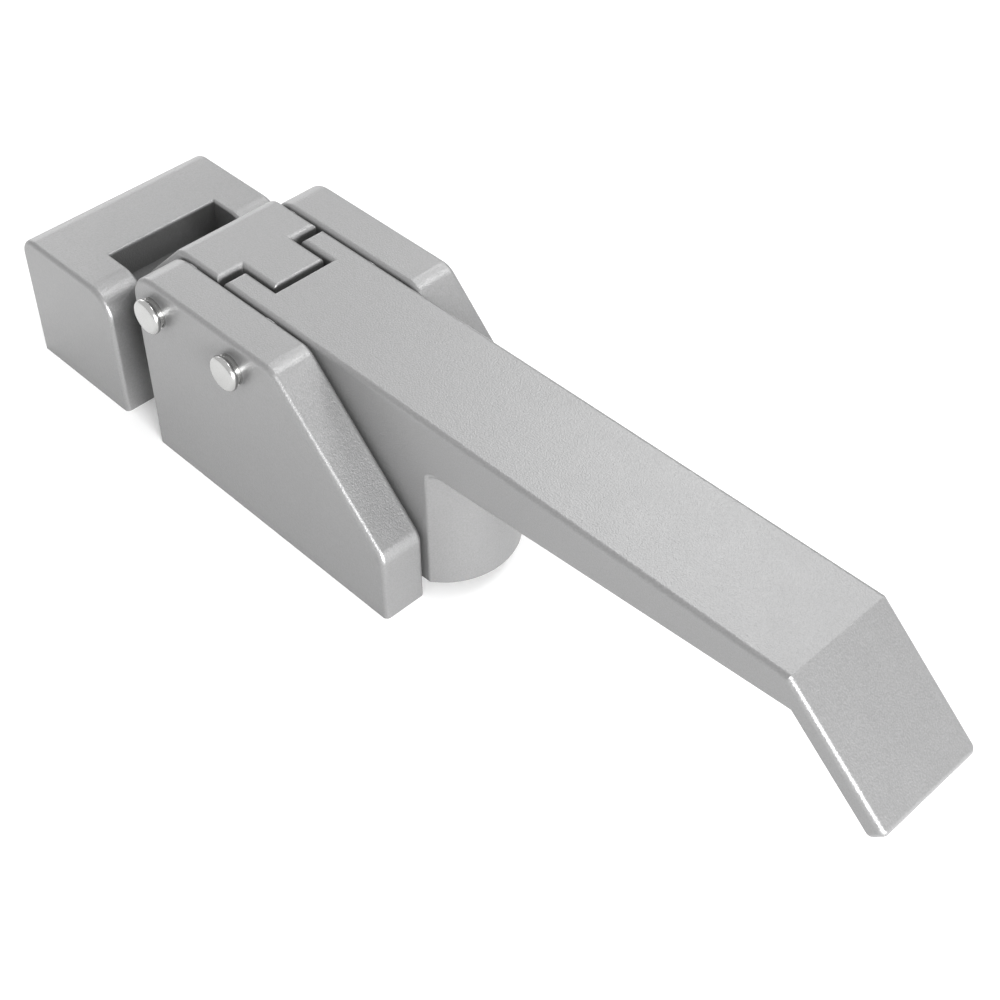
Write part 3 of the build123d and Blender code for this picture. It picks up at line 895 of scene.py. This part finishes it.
class LATCH_OT_links(bpy.types.Operator):
    """Punch the two link plates, each with a round eye and a lost-motion slot"""

    bl_idname = "latch.links"
    bl_label = "Punch Links"
    bl_options = {"REGISTER", "UNDO"}

    def hull(self, name, ends, low_y, high_y):
        """A plate round two circles, given as (middle, radius)."""
        (first, first_radius), (second, second_radius) = ends
        piece = start_circle(name, first, low_y, first_radius, PLATE_SIDES)
        bpy.ops.mesh.primitive_circle_add(
            vertices=PLATE_SIDES, radius=second_radius, fill_type="NGON",
            location=(second.x, low_y, second.z), rotation=(math.pi / 2, 0, 0),
        )
        bpy.ops.mesh.select_all(action="SELECT")
        push_out(high_y - low_y)
        bpy.ops.mesh.select_all(action="SELECT")
        bpy.ops.mesh.convex_hull()
        bpy.ops.mesh.select_all(action="SELECT")
        bpy.ops.mesh.dissolve_limited(angle_limit=FLAT_ANGLE)
        face_outwards()
        return piece

    def execute(self, context):
        settings = context.scene.latch_toggle
        crank, pin = middle_of("crank_pin"), middle_of("link_pin")
        run = (pin - crank).normalized()
        run_angle = math.atan2(run.z, run.x)
        margin = 1.0 * MM
        eye = settings.pin_radius + settings.pin_clearance
        slot = settings.pin_radius + settings.slot_clearance
        slot_start = pin - run * settings.lost_motion
        outline = [(crank, settings.eye_radius), (pin, settings.slot_eye_radius)]
        for node in LINKS:
            low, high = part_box(node)
            piece = self.hull(f"{node}_punched", outline, low.y, high.y)
            cutters = [
                self.hull("eye_cutter", [(crank, eye), (crank, eye)], low.y - margin, high.y + margin),
                self.hull("slot_cutter", [(slot_start, slot), (pin, slot)], low.y - margin, high.y + margin),
            ]
            join(piece, cutters, "DIFFERENCE")
            bevel_edges(piece, settings.edge_break)
            finish = punched_finish(f"{node}_strip", settings.steel_colour, ROUGHNESS["link"], run_angle)
            stand_for(piece, node, finish)
        return {"FINISHED"}


class LATCH_OT_stage(bpy.types.Operator):
    """Set up the pale floor, the room, the soft lamps and the photograph's camera"""

    bl_idname = "latch.stage"
    bl_label = "Set Stage"
    bl_options = {"REGISTER", "UNDO"}

    WHITE = (1, 1, 1, 1)
    PAPER = (0.86, 0.86, 0.86, 1)
    PAPER_LIFT = 0.18
    FRAME_WIDTH = 36.0
    NEAREST_SEEN = 0.01
    # Name, place, side and power in watts
    LAMPS = (
        ("low_side_lamp", (1.138, -0.305, 0.229), 0.52, 32.0),
        ("far_lamp", (0.290, 0.546, 1.029), 0.35, 3.6),
        ("keeper_sheen_lamp", (-1.060, 0.386, 0.410), 0.60, 2.6),
        ("lever_sheen_lamp", (-0.434, 0.694, 0.878), 0.30, 2.4),
    )

    def floor(self, size):
        """A pale floor that looks white and keeps the latch's shadow."""
        deselect_all()
        bpy.ops.mesh.primitive_plane_add(size=size)
        floor = bpy.context.object
        floor.name = "studio_floor"
        finish = Finish(bpy.data.materials.new("studio_floor_paper"))
        seen = self.seen(finish)
        paper = finish.node("ShaderNodeBsdfDiffuse", None, {"Color": self.PAPER})
        lift = finish.node("ShaderNodeEmission", None, {"Color": self.WHITE, "Strength": seen * self.PAPER_LIFT})
        both = finish.node("ShaderNodeAddShader", None, {0: paper, 1: lift})
        finish.node("ShaderNodeOutputMaterial", None, {"Surface": both})
        floor.data.materials.append(finish.owner)

    def seen(self, finish):
        """1 for what the camera sees, straight, in a reflection or through glass, and 0 for other light."""
        camera = finish.node("ShaderNodeLightPath", output="Is Camera Ray")
        glossy = finish.node("ShaderNodeLightPath", output="Is Glossy Ray")
        through = finish.node("ShaderNodeLightPath", output="Is Transmission Ray")
        return (camera + glossy + through).clipped()

    def room(self, scene, ambient):
        """A white room, whose own light on matt surfaces is only as strong as asked."""
        world = bpy.data.worlds.new("studio_room")
        scene.world = world
        finish = Finish(world)
        strength = self.seen(finish) * (1 - ambient) + ambient
        light = finish.node("ShaderNodeBackground", None, {"Color": self.WHITE, "Strength": strength})
        finish.node("ShaderNodeOutputWorld", None, {"Surface": light})

    def lamp(self, name, place, size, power):
        """A soft square lamp that faces the latch."""
        deselect_all()
        bpy.ops.object.light_add(type="AREA", location=place)
        lamp = bpy.context.object
        lamp.name = name
        lamp.data.size = size
        lamp.data.energy = power
        lamp.visible_camera = False
        lamp.rotation_mode = "QUATERNION"
        lamp.rotation_quaternion = (-Vector(place)).to_track_quat("-Z", "Y")

    def camera(self, scene, settings):
        """The camera where the photograph was taken."""
        deselect_all()
        bpy.ops.object.camera_add(location=settings.camera_place)
        camera = bpy.context.object
        camera.name = "photo_camera"
        camera.data.lens = settings.lens
        camera.data.sensor_width = self.FRAME_WIDTH
        camera.data.clip_start = self.NEAREST_SEEN
        aim = Vector(settings.camera_aim).to_track_quat("-Z", "Y")
        camera.rotation_mode = "QUATERNION"
        camera.rotation_quaternion = aim @ Quaternion((0, 0, 1), settings.camera_roll)
        scene.camera = camera

    def execute(self, context):
        settings = context.scene.latch_stage
        context.scene.view_settings.view_transform = "Standard"
        self.floor(settings.floor_size)
        self.room(context.scene, settings.ambient)
        for lamp in self.LAMPS:
            self.lamp(*lamp)
        self.camera(context.scene, settings)
        return {"FINISHED"}


class LATCH_PT_panel(bpy.types.Panel):
    """The latch's steps, in the order in which they are run"""

    bl_idname = "LATCH_PT_panel"
    bl_label = "Over-Centre Latch"
    bl_space_type = "VIEW_3D"
    bl_region_type = "UI"
    bl_category = "Latch"

    def draw(self, context):
        for operator in OPERATORS:
            self.layout.operator(operator.bl_idname)
        for name, group in SETTINGS.items():
            box = self.layout.box()
            for field in group.__annotations__:
                box.prop(getattr(context.scene, name), field)


SETTINGS = {
    "latch_casting": LatchCastingSettings,
    "latch_base": LatchBaseSettings,
    "latch_rivet": LatchRivetSettings,
    "latch_toggle": LatchToggleSettings,
    "latch_stage": LatchStageSettings,
}
OPERATORS = (
    LATCH_OT_castings,
    LATCH_OT_base,
    LATCH_OT_rivets,
    LATCH_OT_washers,
    LATCH_OT_bushes,
    LATCH_OT_pins,
    LATCH_OT_clips,
    LATCH_OT_links,
    LATCH_OT_stage,
)


def register():
    """Registers the settings, the steps and the panel."""
    for name, group in SETTINGS.items():
        bpy.utils.register_class(group)
        setattr(bpy.types.Scene, name, PointerProperty(type=group))
    for operator in OPERATORS:
        bpy.utils.register_class(operator)
    bpy.utils.register_class(LATCH_PT_panel)


def unregister():
    """Takes the panel, the steps and the settings away again."""
    bpy.utils.unregister_class(LATCH_PT_panel)
    for operator in reversed(OPERATORS):
        bpy.utils.unregister_class(operator)
    for name, group in reversed(SETTINGS.items()):
        delattr(bpy.types.Scene, name)
        bpy.utils.unregister_class(group)


def main():
    """Makes the whole scene."""
    register()
    bpy.ops.latch.castings()
    bpy.ops.latch.base()
    bpy.ops.latch.rivets()
    bpy.ops.latch.washers()
    bpy.ops.latch.bushes()
    bpy.ops.latch.pins()
    bpy.ops.latch.clips()
    bpy.ops.latch.links()
    bpy.ops.latch.stage()


if __name__ == "__main__":
    main()
